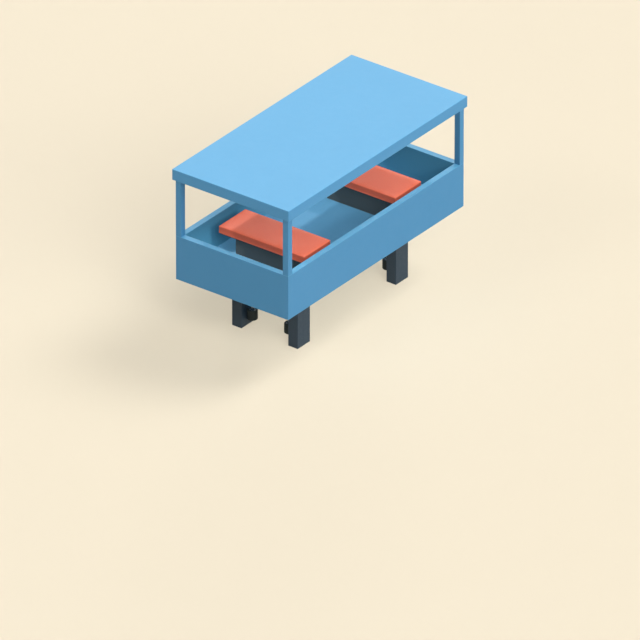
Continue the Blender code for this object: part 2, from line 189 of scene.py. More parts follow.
def makeVinyl(name, look):
    # seat vinyl with a pressed leather grain, its creases painted darker: a painted shade
    tree, shader, place = newFinish(name, look)
    cells = nodeOut(tree, "ShaderNodeTexVoronoi", {"feature": "DISTANCE_TO_EDGE"}, Vector=place,
                    Scale=look["grainScale"])
    clouds = noiseAt(tree, place, look["cloudScale"], 4)
    pores = noiseAt(tree, place, look["grainScale"] * look["poreShare"], 3)
    tone = blendColours(tree, spread(tree, clouds, 0, 1), look["colour"], look["worn"])
    creaseShading = spread(tree, cells, look["creaseShade"], 0, 0, 0.09)
    endFinish(tree, shader, blendColours(tree, creaseShading, tone, look["creaseShadeColour"]),
              spread(tree, pores, *look["roughness"]), (pores, look["poreDepth"]),
              (spread(tree, cells, 0, 1, 0, 0.12), look["grainDepth"]))


def makeRubber(name, look):
    # moulded rubber, greyed by dust in patches
    tree, shader, place = newFinish(name, look)
    clouds = noiseAt(tree, place, look["cloudScale"], 6, 0.65)
    dusty = spread(tree, clouds, 0, 1, 0.4, 0.75)
    endFinish(tree, shader, blendColours(tree, dusty, look["colour"], look["dusty"]),
              spread(tree, clouds, *look["roughness"]),
              (noiseAt(tree, place, look["gritScale"], 3), look["gritDepth"]))


def makeTurnedSteel(name, look, centre, direction):
    # bright steel with fine lathe rings about its own axis
    tree, shader, place = newFinish(name, look)
    centred = nodeOut(tree, "ShaderNodeMapping", Vector=place, Location=-Vector(centre))
    rings = addNode(tree, "ShaderNodeTexWave", {"wave_type": "RINGS", "rings_direction": direction},
                    Vector=centred, Scale=look["ringScale"], Distortion=1.5, Detail=2.0,
                    Detail_Scale=3.0).outputs["Fac"]
    stain = noiseAt(tree, place, look["stainScale"], 6, 0.7)
    stained = spread(tree, stain, 0, 1, 0.45, 0.75)
    endFinish(tree, shader, blendColours(tree, stained, look["colour"], look["stained"]),
              spread(tree, stain, *look["roughness"]), (rings, look["ringDepth"]))


# Finishes: painted light zones are boxes in which an enamel has a lighter or darker tone, painted
# light and painted shade for how light falls there

zoneLook = {"belowRim": 0.003, "aboutRim": 0.002, "belowRoof": 0.005, "reach": (2, 3)}


def zone(halfWidth, halfLength, bottom, top):
    return Vector((-halfWidth, -halfLength, bottom)), Vector((halfWidth, halfLength, top))


# painted light: the tub's inside takes a lighter tone of the blue, standing in for light in the
# cabin
liningLightZone = zone((wallBox[0].x + wallBox[1].x) / 2, (endWallBox[0].y + endWallBox[1].y) / 2,
              deckBox[0].z, tubRim - zoneLook["belowRim"])
# painted highlight: the top of the tub's rim takes a lighter tone of the blue
rimLightZone = zone(*zoneLook["reach"], tubRim - zoneLook["aboutRim"], tubRim + zoneLook["aboutRim"])
# painted shade: the roof's fascia takes a darker tone than the roof's top
fasciaShadeZone = zone(*zoneLook["reach"], *(corner.z - zoneLook["belowRoof"] for corner in roofBox))

bodySpray = {
    "dust": 0.04, "roughness": (0.48, 0.56), "specular": 0.25, "cloudScale": 1.3, "dustScale": 9,
    "peelScale": 260, "peelDepth": 0.00008, "swellScale": 6, "swellDepth": 0.0005,
}
metalSpray = {
    "dust": 0.05, "roughness": (0.46, 0.60), "specular": 0.3, "cloudScale": 3.0, "dustScale": 18,
    "peelScale": 330, "peelDepth": 0.00012, "swellScale": 9, "swellDepth": 0.0004,
}
enamels = {
    # the body blue; inside the tub and on top of its rim it is painted lighter, a painted light
    "bluePaint": {
        **bodySpray, "colour": (0.0477, 0.1920, 0.3640), "faded": (0.0494, 0.1962, 0.370),
        "dustColour": (0.097, 0.244, 0.383),
        "paintedLightZones": ((*liningLightZone, (0.0724, 0.2575, 0.391)), (*rimLightZone, (0.0865, 0.2925, 0.468))),
    },
    # the roof's paint is a lighter copy of the body blue, a painted highlight on its top, with its
    # fascia painted darker
    "roofLitPaint": {
        **bodySpray, "colour": (0.0852, 0.2825, 0.4725), "faded": (0.0875, 0.2877, 0.480),
        "dustColour": (0.145, 0.333, 0.487), "paintedLightZones": ((*fasciaShadeZone, (0.0570, 0.218, 0.409)),),
    },
    # the floor deck's paint is a lighter copy of the body blue, painted light on the cabin floor
    "deckLitPaint": {
        "colour": (0.1016, 0.3012, 0.4799), "faded": (0.1064, 0.307, 0.486),
        "dustColour": (0.208, 0.34, 0.438), "dust": 0.08, "roughness": (0.52, 0.64),
        "specular": 0.25, "cloudScale": 2.1, "dustScale": 14, "peelScale": 420,
        "peelDepth": 0.0002, "swellScale": 8, "swellDepth": 0.0004,
    },
    "slateEnamel": {
        **metalSpray, "colour": (0.0174, 0.0356, 0.0570), "faded": (0.0199, 0.0386, 0.0602),
        "dustColour": (0.080, 0.090, 0.095),
    },
    "benchEnamel": {
        **metalSpray, "colour": (0.0784, 0.0959, 0.0968), "faded": (0.083, 0.0996, 0.1005),
        "dustColour": (0.135, 0.132, 0.13), "dust": 0.04, "roughness": (0.50, 0.60),
        "specular": 0.25, "swellDepth": 0.0003,
    },
    "castEnamel": {
        "colour": (0.105, 0.120, 0.132), "faded": (0.125, 0.140, 0.150),
        "dustColour": (0.20, 0.19, 0.17), "dust": 0.22, "roughness": (0.50, 0.70),
        "specular": 0.4, "cloudScale": 7.0, "dustScale": 25, "peelScale": 210,
        "peelDepth": 0.0009, "swellScale": 45, "swellDepth": 0.0015,
    },
}
# the crease colour and its share paint shade into the grain's creases
vinylLook = {
    "colour": (0.748, 0.1445, 0.0745), "worn": (0.757, 0.1530, 0.0815),
    "creaseShadeColour": (0.519, 0.069, 0.0346), "creaseShade": 0.25, "roughness": (0.50, 0.60),
    "specular": 0.3, "cloudScale": 4.0, "grainScale": 430, "grainDepth": 0.00018,
    "poreShare": 2.3, "poreDepth": 0.00006,
}
rubberLook = {
    "colour": (0.007, 0.013, 0.014), "dusty": (0.018, 0.028, 0.028), "roughness": (0.72, 0.92),
    "specular": 0.35, "cloudScale": 16, "gritScale": 520, "gritDepth": 0.0003,
}
steelLook = {
    "colour": (0.44, 0.45, 0.46), "stained": (0.30, 0.29, 0.28), "roughness": (0.30, 0.48),
    "metallic": 1, "ringScale": 160, "ringDepth": 0.00006, "stainScale": 24,
}
zincLook = {
    "colour": (0.34, 0.35, 0.36), "stained": (0.22, 0.21, 0.19), "roughness": (0.34, 0.55),
    "metallic": 1, "ringScale": 40, "ringDepth": 0.00002, "stainScale": 60,
}
slotFinishes = {   # each slot's finishes, of which the CAD model's own nodes get the first
    "body_paint": ("bluePaint", "roofLitPaint", "deckLitPaint"), "bench_vinyl": ("seatVinyl",),
    "dark_steel": ("slateEnamel", "benchEnamel"), "bare_steel": ("zincPlate",),
    "tyre_rubber": ("tyreRubber",), "drive_casing": ("castEnamel",),
}
nodeFinishes = {   # apart from these
    "floor_deck": "deckLitPaint", "roof_shell": "roofLitPaint", "bench_pedestal_a": "benchEnamel",
    "bench_pedestal_b": "benchEnamel", "load_axle_a": "axleSteel_a", "load_axle_b": "axleSteel_b",
}

for name, look in enamels.items():
    makeEnamel(name, look)
makeVinyl("seatVinyl", vinylLook)
makeRubber("tyreRubber", rubberLook)
makeTurnedSteel("zincPlate", zincLook, (0, 0, 0), "Z")
for end in ends:
    makeTurnedSteel(f"axleSteel_{end}", steelLook, pivots[f"wheelset_{end}"], "X")
for subpart in frame["record"]["subparts"]:
    name = subpart["node"]
    chosen = nodeFinishes.get(name) or slotFinishes[subpart["material_slot"]][0]
    materials = frame["nodes"][name].data.materials
    materials.clear()
    materials.append(finishes[chosen])
print("finishes made:", len(finishes))


# Making and placing pieces

def linked(name, data):
    # a new object in the scene
    made = bpy.data.objects.new(name, data)
    scene.collection.objects.link(made)
    return made


def newPiece(name, mesh, finish, body=carBody, replaced=(), at=(0, 0, 0)):
    mesh.name = name
    if any(at):
        mesh.transform(Matrix.Translation(at))
    piece = linked(name, mesh)
    mesh.materials.clear()
    mesh.materials.append(finishes[finish])
    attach(piece, body)
    if replaced:
        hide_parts(*replaced)
    return piece


def toMesh(bm, sharpAngle=35):
    bmesh.ops.recalc_face_normals(bm, faces=bm.faces)
    mesh = bpy.data.meshes.new("mesh")
    bm.to_mesh(mesh)
    bm.free()
    mesh.polygons.foreach_set("use_smooth", [True] * len(mesh.polygons))
    mesh.set_sharp_from_angle(angle=radians(sharpAngle))
    return mesh


def takenFrom(carrier):
    # the plain mesh that an object's modifiers make; the object itself goes
    seen = carrier.evaluated_get(bpy.context.evaluated_depsgraph_get())
    result = bpy.data.meshes.new_from_object(seen)
    carrier.modifiers.clear()
    bpy.data.objects.remove(carrier)
    return result


def applied(mesh, modifiers):
    # modifiers are {kind: settings}
    carrier = linked("carrier", mesh)
    for kind, settings in modifiers.items():
        modifier = carrier.modifiers.new(kind, kind)
        for key, value in settings.items():
            setattr(modifier, key, value)
    return takenFrom(carrier)


def rounded(mesh, radius, segments=3):
    # every hard edge of the mesh rolled to a radius
    edges = {"width": radius, "segments": segments, "limit_method": "ANGLE",
             "angle_limit": radians(30), "miter_outer": "MITER_ARC"}
    shading = {"keep_sharp": True, "weight": 80}
    return applied(mesh, {"BEVEL": edges, "WEIGHTED_NORMAL": shading})


def cellSolid(xs, ys, zs, isFilled):
    # a solid of a grid's filled cells, without the faces that two of them share
    levels, faces = (xs, ys, zs), {}
    for cell in product(*(range(len(level) - 1) for level in levels)):
        for axis, side in product(range(3), (0, 1)):
            square = [(*pair[:axis], side, *pair[axis:])
                      for pair in ((0, 0), (1, 0), (1, 1), (0, 1))]
            loop = [tuple(map(sum, zip(cell, corner))) for corner in square]
            if isFilled(*cell) and not faces.pop(frozenset(loop), None):
                faces[frozenset(loop)] = loop
    bm = bmesh.new()
    spots = dict.fromkeys(spot for loop in faces.values() for spot in loop)
    verts = {spot: bm.verts.new([level[step] for level, step in zip(levels, spot)])
             for spot in spots}
    for loop in faces.values():
        bm.faces.new([verts[spot] for spot in loop])
    return toMesh(bm)


def blockMesh(blocks, radius=0.002, segments=2):
    # rounded blocks in one mesh, each between two opposite corners
    bm = bmesh.new()
    for corners in blocks:
        low, high = (Vector([pick(pair) for pair in zip(*corners)]) for pick in (min, max))
        place = Matrix.LocRotScale((low + high) / 2, None, high - low)
        made = bmesh.ops.create_cube(bm, size=1, matrix=place)
        edges = list({edge for vert in made["verts"] for edge in vert.link_edges})
        bmesh.ops.bevel(bm, geom=edges, offset=radius, segments=segments, profile=0.5,
                        affect="EDGES", clamp_overlap=True)
    return toMesh(bm, 50)


axisFrames = {   # for each axis: across, upward and along
    "X": ((0, 1, 0), (0, 0, 1), (1, 0, 0)), "Y": ((0, 0, 1), (1, 0, 0), (0, 1, 0)),
    "Z": ((1, 0, 0), (0, 1, 0), (0, 0, 1)),
}


def circleAt(centre, radius, count, axis, start=0.0):
    # points on a circle about an axis through the centre
    across, upward, _ = (Vector(way) for way in axisFrames[axis])
    angles = [start + 2 * pi * step / count for step in range(count)]
    return [Vector(centre) + radius * (across * cos(a) + upward * sin(a)) for a in angles]


def latheMesh(turnings, steps=64):
    # turnings are (profile, centre, axis); profiles are points (radius, distance along the axis)
    bm = bmesh.new()
    for profile, centre, axis in turnings:
        rings = []
        for radius, distance in profile:
            middle = Vector(centre) + Vector(axisFrames[axis][2]) * distance
            spots = circleAt(middle, radius, steps, axis) if radius else [middle]
            rings.append([bm.verts.new(spot) for spot in spots])
        hollow = len(rings[0]) > 1 and len(rings[-1]) > 1
        pairs = list(zip(rings, rings[1:])) + ([(rings[-1], rings[0])] if hollow else [])
        for first, second in pairs:
            for step in range(steps):
                after = (step + 1) % steps
                loop = [first[step % len(first)], first[after % len(first)],
                        second[after % len(second)], second[step % len(second)]]
                bm.faces.new(list(dict.fromkeys(loop)))
    return toMesh(bm)


# Geometry Nodes: fasteners at points, beads and tubes along paths, stitches along a seam

def newTree(name, sizes):
    tree = bpy.data.node_groups.new(name, "GeometryNodeTree")
    face = tree.interface
    face.new_socket("Geometry", in_out="INPUT", socket_type="NodeSocketGeometry")
    face.new_socket("Finish", in_out="INPUT", socket_type="NodeSocketMaterial")
    for label, value in sizes.items():
        kind = "NodeSocketInt" if isinstance(value, int) else "NodeSocketFloat"
        face.new_socket(label, in_out="INPUT", socket_type=kind).default_value = value
    face.new_socket("Geometry", in_out="OUTPUT", socket_type="NodeSocketGeometry")
    return tree, tree.nodes.new("NodeGroupInput").outputs


def endTree(tree, given, geometry):
    solid = nodeOut(tree, "GeometryNodeRealizeInstances", Geometry=geometry)
    finished = nodeOut(tree, "GeometryNodeSetMaterial", Geometry=solid, Material=given["Finish"])
    addNode(tree, "NodeGroupOutput", Geometry=finished)
    return tree


def scaledUp(tree, geometry, height):
    # a smooth shape drawn out along Z
    size = nodeOut(tree, "ShaderNodeCombineXYZ", X=1.0, Y=1.0, Z=height)
    drawn = nodeOut(tree, "GeometryNodeTransform", Geometry=geometry, Scale=size)
    return nodeOut(tree, "GeometryNodeSetShadeSmooth", Geometry=drawn)


def placeAtPoints(tree, given, part):
    # the part at every point, its +Z along the point's aim, at the point's size
    aim, size = (nodeOut(tree, "GeometryNodeInputNamedAttribute", {"data_type": kind}, Name=name)
                 for kind, name in (("FLOAT_VECTOR", "aim"), ("FLOAT", "size")))
    turn = nodeOut(tree, "FunctionNodeAlignRotationToVector", {"axis": "Z"}, Vector=aim)
    return nodeOut(tree, "GeometryNodeInstanceOnPoints", Points=given["Geometry"], Instance=part,
                   Rotation=turn, Scale=size)


def makeHexTree():
    tree, given = newTree("hexFasteners", {
        "headWidth": 0.018, "headHeight": 0.008, "washerWidth": 0.026, "washerHeight": 0.0025,
        "stubWidth": 0.010, "stubHeight": 0.004})
    head, washer = given["headHeight"], given["washerHeight"]

    def share(value, factor):
        return valueOf(tree, "MULTIPLY", value, factor)

    corner = share(given["headWidth"], 1 / sqrt(3))
    shapes = (   # kind, height of its foot or middle, sizes
        ("Cylinder", share(washer, 0.5), {
            "Vertices": 20, "Depth": washer, "Radius": share(given["washerWidth"], 0.5)}),
        ("Cylinder", valueOf(tree, "MULTIPLY_ADD", head, 0.4, washer), {
            "Vertices": 6, "Depth": share(head, 0.8), "Radius": corner}),
        ("Cone", valueOf(tree, "MULTIPLY_ADD", head, 0.8, washer), {
            "Vertices": 6, "Depth": share(head, 0.2), "Radius_Bottom": corner,
            "Radius_Top": share(corner, 0.84)}),
        ("Cone", valueOf(tree, "ADD", head, washer), {
            "Vertices": 12, "Depth": given["stubHeight"],
            "Radius_Bottom": share(given["stubWidth"], 0.5),
            "Radius_Top": share(given["stubWidth"], 0.42)}),
    )
    joined = tree.nodes.new("GeometryNodeJoinGeometry")
    for kind, height, sizes in reversed(shapes):
        shape = nodeOut(tree, "GeometryNodeMesh" + kind, **sizes)
        offset = nodeOut(tree, "ShaderNodeCombineXYZ", Z=height)
        lifted = nodeOut(tree, "GeometryNodeTransform", Geometry=shape, Translation=offset)
        tree.links.new(lifted, joined.inputs[0])
    return endTree(tree, given, placeAtPoints(tree, given, joined.outputs[0]))


def makeRivetTree():
    tree, given = newTree("domedRivets", {"headWidth": 0.012, "headHeight": 0.0035})
    radius = valueOf(tree, "MULTIPLY", given["headWidth"], 0.5)
    dome = nodeOut(tree, "GeometryNodeMeshUVSphere", Segments=14, Rings=8, Radius=radius)
    flat = valueOf(tree, "DIVIDE", given["headHeight"], radius)
    return endTree(tree, given, placeAtPoints(tree, given, scaledUp(tree, dome, flat)))


def makeBeadTree():
    tree, given = newTree("beadsAlongPaths", {
        "radius": 0.003, "pitch": 0.004, "ripple": 0.0, "sides": 8})
    paths = nodeOut(tree, "GeometryNodeMeshToCurve", Mesh=given["Geometry"])
    steps = nodeOut(tree, "GeometryNodeResampleCurve", {"mode": "LENGTH"}, Curve=paths,
                    Length=valueOf(tree, "MULTIPLY", given["pitch"], 0.5))
    section = nodeOut(tree, "GeometryNodeCurvePrimitiveCircle", {"mode": "RADIUS"},
                      Resolution=given["sides"], Radius=given["radius"])
    odd = valueOf(tree, "MODULO", nodeOut(tree, "GeometryNodeInputIndex"), 2.0)
    beat = valueOf(tree, "MULTIPLY", odd, given["ripple"])
    bead = nodeOut(tree, "GeometryNodeCurveToMesh", Curve=steps, Profile_Curve=section,
                   Scale=valueOf(tree, "ADD", beat, 1.0), Fill_Caps=True)
    return endTree(tree, given, nodeOut(tree, "GeometryNodeSetShadeSmooth", Geometry=bead))


def makeStitchTree():
    tree, given = newTree("stitches", {"thread": 0.0011, "stitchLength": 0.0046, "pitch": 0.0066})
    seam = nodeOut(tree, "GeometryNodeMeshToCurve", Mesh=given["Geometry"])
    spots = addNode(tree, "GeometryNodeCurveToPoints", {"mode": "LENGTH"}, Curve=seam,
                    Length=given["pitch"]).outputs
    strand = nodeOut(tree, "GeometryNodeMeshUVSphere", Segments=6, Rings=5, Radius=given["thread"])
    width = valueOf(tree, "MULTIPLY", given["thread"], 2.0)
    longer = valueOf(tree, "DIVIDE", given["stitchLength"], width)
    rows = nodeOut(tree, "GeometryNodeInstanceOnPoints", Points=spots["Points"],
                   Instance=scaledUp(tree, strand, longer), Rotation=spots["Rotation"])
    return endTree(tree, given, rows)


hexTree, rivetTree, beadTree = makeHexTree(), makeRivetTree(), makeBeadTree()
stitchTree = makeStitchTree()


def moved(spot, at):
    return [value + shift for value, shift in zip(spot, at)]


def pointMesh(spots, at):
    # spots are (place, aim) or (place, aim, size)
    mesh = bpy.data.meshes.new("points")
    mesh.from_pydata([moved(spot[0], at) for spot in spots], [], [])
    mesh.attributes.new("aim", "FLOAT_VECTOR", "POINT")
    mesh.attributes.new("size", "FLOAT", "POINT")
    for number, spot in enumerate(spots):
        mesh.attributes["aim"].data[number].vector = spot[1]
        mesh.attributes["size"].data[number].value = spot[2] if len(spot) > 2 else 1.0
    return mesh


def pathMesh(paths, at):
    # paths are (points, closed)
    mesh = bpy.data.meshes.new("paths")
    points, edges = [], []
    for path, closed in paths:
        first = len(points)
        points += [moved(point, at) for point in path]
        edges += [(first + step, first + step + 1) for step in range(len(path) - 1)]
        if closed:
            edges.append((len(points) - 1, first))
    mesh.from_pydata(points, edges, [])
    return mesh


def addRow(name, tree, places, finish, body=carBody, at=(0, 0, 0), **sizes):
    # fasteners at spots, or beads and stitches along paths
    # the shift comes first, because paths are divided by their length
    makeMesh = pointMesh if tree in (hexTree, rivetTree) else pathMesh
    carrier = linked("carrier", makeMesh(places, at))
    modifier = carrier.modifiers.new(name, "NODES")
    modifier.node_group = tree
    values = {"Finish": finishes[finish], **sizes}
    for item in tree.interface.items_tree:
        if item.in_out == "INPUT" and item.name in values:
            modifier[item.identifier] = values[item.name]
    newPiece(name, takenFrom(carrier), finish, body)


def spotsAt(xs, ys, zs, aim, size=1.0):
    # a fastener wherever three lists of coordinates cross
    return [(spot, aim, size) for spot in product(xs, ys, zs)]


def ringSpots(centre, radius, count, axis, way=1, size=1.0, start=0.0):
    # a ring of fasteners that face one way along an axis
    aim = way * Vector(axisFrames[axis][2])
    return [(spot, aim, size) for spot in circleAt(centre, radius, count, axis, start)]


# Tub and roof

shellLook = {"tubEdge": 0.003, "roofEdge": 0.006, "roofSkin": 0.025}
overlap = 0.002   # how far added blocks sink into what they stand on


def makeTub():
    # walls all round up to the rim, and only the corner posts above it
    walls = [f"wall_{side}" for side in sides] + [f"wall_{end}_end" for end in ends]
    posts = [f"post_{end}_{side}" for end in ends for side in sides]
    solid = cellSolid(symmetric(inner.x, outer.x), symmetric(inner.y, outer.y),
                      (inner.z, tubRim, outer.z),
                      lambda i, j, k: (i, j) != (1, 1) if k == 0 else i != 1 and j != 1)
    newPiece("tubShell", rounded(solid, shellLook["tubEdge"]), "bluePaint", replaced=walls + posts)


def makeRoof():
    # a pan with its open side down
    skin, (low, high) = shellLook["roofSkin"], roofBox
    solid = cellSolid(symmetric(high.x - skin, high.x), symmetric(high.y - skin, high.y),
                      (low.z, high.z - skin, high.z), lambda i, j, k: k == 1 or (i, j) != (1, 1))
    newPiece("roofPan", rounded(solid, shellLook["roofEdge"], 4), "roofLitPaint",
             replaced=["roof_shell"])


makeTub()
makeRoof()
print("tub and roof made")


# Under the roof: ceiling ribs, corner gussets and rivets

ceilingLook = {
    "ribs": (0.30, 1.70, 5), "ribWidth": 0.034, "ribDepth": 0.012, "ribGap": 0.02,
    "gussetLeg": 0.13, "gussetLap": 0.03, "gussetPlate": 0.003, "endGap": 0.05,
    "gussetRivets": ((0.012, 0.0975), (0.012, 0.020), (-0.1014, -0.014)),
    "railRivets": 27, "railInset": 0.16, "railShift": 0.012,
    "bowRivets": 11, "bowReach": 0.62, "bowInset": 0.018,
}


def crossRibs(ys, halfWidth, width, low, high, edge=0.005):
    # pressed ribs across a sheet
    ribs = [((-halfWidth, y - width / 2, low), (halfWidth, y + width / 2, high)) for y in ys]
    return blockMesh(ribs, edge, 3)


def makeCeiling():
    look = ceilingLook
    ceiling = roofBox[1].z - shellLook["roofSkin"]
    x, low = railBox[0].x, railBox[0].z
    newPiece("ceilingRibs", crossRibs(
        symmetric(*evenly(*look["ribs"])), x - look["ribGap"], look["ribWidth"],
        ceiling - look["ribDepth"], ceiling + overlap), "bluePaint")

    lap, leg, plate = look["gussetLap"], look["gussetLeg"], low - look["gussetPlate"]
    plan = ((lap, -lap), (lap, leg), (0, leg), (-leg, 0), (-leg, -lap))   # out and along
    bows = [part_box(f"roof_bow_{name}") for name in ("a", "middle", "b")]
    bm = bmesh.new()
    rivets = []
    for bow, side, (along, face) in product(bows, (-1, 1), ((-1, 0), (1, 1))):
        y = bow[face].y
        if abs(y) > outer.y - look["endGap"]:
            continue
        bottom, top = ([bm.verts.new((side * (x + out), y + along * run, z)) for out, run in plan]
                       for z in (plate, low))
        bm.faces.new(bottom)
        bm.faces.new(top)
        for step in range(len(plan)):
            bm.faces.new((bottom[step - 1], bottom[step], top[step], top[step - 1]))
        rivets += [((side * (x + out), y + along * run, plate), down)
                   for out, run in look["gussetRivets"]]
    newPiece("roofGussets", toMesh(bm), "bluePaint")
    railX = (railBox[0].x + railBox[1].x) / 2 + look["railShift"]
    railEnd = outer.y - look["railInset"]
    rivets += spotsAt(symmetric(railX), evenly(-railEnd, railEnd, look["railRivets"]), [low], down)
    for bow in bows:
        rivets += spotsAt(evenly(-look["bowReach"], look["bowReach"], look["bowRivets"]),
                          (bow[0].y + look["bowInset"], bow[1].y - look["bowInset"]), [low], down)
    addRow("roofRivets", rivetTree, rivets, "bluePaint")


makeCeiling()
print("ceiling made")


# Floor: a bead of sealant round its edge, and the bench feet

floorLook = {
    "seal": 0.006, "benchSeal": 0.003, "sealRise": 0.001, "sealPitch": 0.05,
    "footInset": 0.09, "footLength": 0.06, "footSide": 0.03, "footPlate": 0.004,
    "boltShift": 0.017, "boltOut": 0.018, "boltSize": 0.55,
}


def rectanglePath(low, high, z, corner=0.0, cornerSteps=6):
    # a closed rectangle, with round corners where a corner radius is given
    points = []
    for turn, (endX, endY) in enumerate(((1, 1), (0, 1), (0, 0), (1, 0))):
        x = (low, high)[endX][0] - corner * (2 * endX - 1)
        y = (low, high)[endY][1] - corner * (2 * endY - 1)
        for step in range(cornerSteps + 1 if corner else 1):
            angle = pi / 2 * (turn + step / cornerSteps)
            points.append((x + corner * cos(angle), y + corner * sin(angle), z))
    return points


def pedestalFoot(end):
    # half the width, the front and the back of a pedestal, which its seat pan overhangs
    verts = [v.co for v in frame["nodes"][f"bench_pedestal_{end}"].data.vertices
             if v.co.z < deckTop + 0.01]
    ys = [co.y for co in verts]
    return max(co.x for co in verts), min(ys), max(ys)


def makeFloorTrim():
    look = floorLook
    sealZ = deckTop + look["sealRise"]
    seal = rectanglePath((-inner.x, -inner.y), (inner.x, inner.y), sealZ)
    addRow("floorSeal", beadTree, [(seal, True)], "deckLitPaint", radius=look["seal"], sides=12,
           pitch=look["sealPitch"])
    feet, bolts, seals = [], [], []
    halfLength, plate, leg = look["footLength"] / 2, look["footPlate"], look["footSide"]
    for end in ends:
        x, front, back = pedestalFoot(end)
        seals.append((rectanglePath((-x, front), (x, back), sealZ), True))
        for side, y in product((-1, 1), (front + look["footInset"], back - look["footInset"])):
            feet += [((side * x, y - halfLength, deckTop),
                      (side * (x + reach), y + halfLength, deckTop + height))
                     for reach, height in ((leg, plate), (plate, leg))]
            bolts += spotsAt([side * (x + look["boltOut"])],
                             (y - look["boltShift"], y + look["boltShift"]), [deckTop + plate],
                             up, look["boltSize"])
    newPiece("benchFeet", blockMesh(feet, 0.0015), "benchEnamel")
    addRow("benchFootBolts", hexTree, bolts, "zincPlate")
    addRow("benchSeals", beadTree, seals, "benchEnamel", radius=look["benchSeal"],
           pitch=look["sealPitch"])


makeFloorTrim()
print("floor trim made")


# Bench cushions: swelled by cloth pressure, with a welt and a row of stitches

cushionLook = {
    "shrink": 0.0025, "corner": 0.004, "voxel": 0.009, "pressure": 4.0, "stiffness": 60,
    "bending": 8, "heldHeight": 0.03, "frames": 16, "cap": 0.0035, "crown": 0.003,
    "welt": 0.0034, "weltInset": 0.003, "weltDrop": 0.004, "weltRise": 0.0032,
    "weltShare": 0.15, "weltPitch": 0.02, "weltGap": 0.03, "cornerRound": 0.010,
    "stitchInset": 0.012, "stitchGap": 0.02, "above": 0.01, "fill": 0.95,
    "board": 0.013, "boardInset": 0.009, "boardLap": 0.0005,
}


def cushionSpan(end):
    # the padded part, which lies on a board
    low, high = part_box(f"cushion_{end}")
    return Vector((low.x, low.y, low.z + cushionLook["board"])), Vector(high)


def swelled(blank, floorZ):
    # cloth under pressure, its underside held flat, and no point moved further than the cap
    look = cushionLook
    carrier = linked("carrier", blank)
    held = carrier.vertex_groups.new(name="held")
    for vert in blank.vertices:
        rise = (vert.co.z - floorZ) / look["heldHeight"]
        if rise < 1:
            held.add([vert.index], max(0.0, 1 - max(0.0, rise)), "REPLACE")
    cloth = carrier.modifiers.new("Cloth", "CLOTH")
    settings = cloth.settings
    settings.vertex_group_mass = "held"
    settings.use_pressure = True
    settings.uniform_pressure_force = look["pressure"]
    settings.effector_weights.gravity = 0
    settings.quality = 5
    settings.tension_stiffness = settings.compression_stiffness = look["stiffness"]
    settings.bending_stiffness = look["bending"]
    cloth.point_cache.frame_start, cloth.point_cache.frame_end = 1, look["frames"]
    for number in range(1, look["frames"] + 1):
        scene.frame_set(number)
    result = takenFrom(carrier)
    for vert, start in zip(result.vertices, blank.vertices):
        move = vert.co - start.co
        if move.length > look["cap"]:
            vert.co = start.co + move * (look["cap"] / move.length)
    scene.frame_set(1)
    return result


def densified(points, gap):
    # a closed path with more points on its long runs
    dense = []
    for start, stop in zip(points, points[1:] + points[:1]):
        start, stop = Vector(start), Vector(stop)
        count = max(1, int((stop - start).length / gap))
        dense += [start.lerp(stop, step / count) for step in range(count)]
    return dense


def makeCushion(end):
    look, label = cushionLook, end.upper()
    low, high = cushionSpan(end)
    shrink = look["shrink"]
    block = (low + Vector((shrink, shrink, 0)), high - Vector((shrink, shrink, shrink)))
    grid = {"mode": "VOXEL", "voxel_size": look["voxel"], "use_smooth_shade": True}
    blank = applied(blockMesh([block], look["corner"], 4), {"REMESH": grid})
    mesh = swelled(blank, low.z)
    mesh.polygons.foreach_set("use_smooth", [True] * len(mesh.polygons))
    cushion = newPiece(f"cushion{label}", mesh, "seatVinyl", replaced=[f"cushion_{end}"])
    top = max(v.co.z for v in mesh.vertices)
    print("cushion", end, "top", round(top, 4), "of", round(high.z, 4))

    skin = BVHTree.FromPolygons([v.co for v in mesh.vertices],
                                [p.vertices[:] for p in mesh.polygons])

    def onSkin(path, gap, out=0.0):
        found = [skin.find_nearest(point)[:2] for point in densified(path, gap)]
        return [spot + normal * out for spot, normal in found], True

    inset = Vector((look["weltInset"], look["weltInset"], 0))
    seams = [onSkin(rectanglePath(low + inset, high - inset, z, look["cornerRound"]),
                    look["weltGap"], look["welt"] * look["weltShare"])
             for z in (high.z - look["weltDrop"], low.z + look["weltRise"])]
    addRow(f"cushionWelt{label}", beadTree, seams, "seatVinyl", radius=look["welt"],
           pitch=look["weltPitch"], sides=10)
    reach = look["stitchInset"] + look["welt"]
    inset = Vector((reach, reach, 0))
    row = rectanglePath(low + inset, high - inset, high.z + look["above"], look["cornerRound"])
    addRow(f"cushionStitches{label}", stitchTree, [onSkin(row, look["stitchGap"])], "seatVinyl")


def makeBoards():
    # the plywood that each cushion is stretched over
    inset = Vector((cushionLook["boardInset"], cushionLook["boardInset"], 0))
    blocks = []
    for end in ends:
        low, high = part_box(f"cushion_{end}")
        top = Vector((high.x, high.y, low.z + cushionLook["board"] + cushionLook["boardLap"]))
        blocks.append((low + inset, top - inset))
    newPiece("cushionBoards", blockMesh(blocks), "benchEnamel")


for end in ends:
    makeCushion(end)
makeBoards()
print("cushions made")


# Wheels: grooved load tyres, guide wheel treads and their hubs

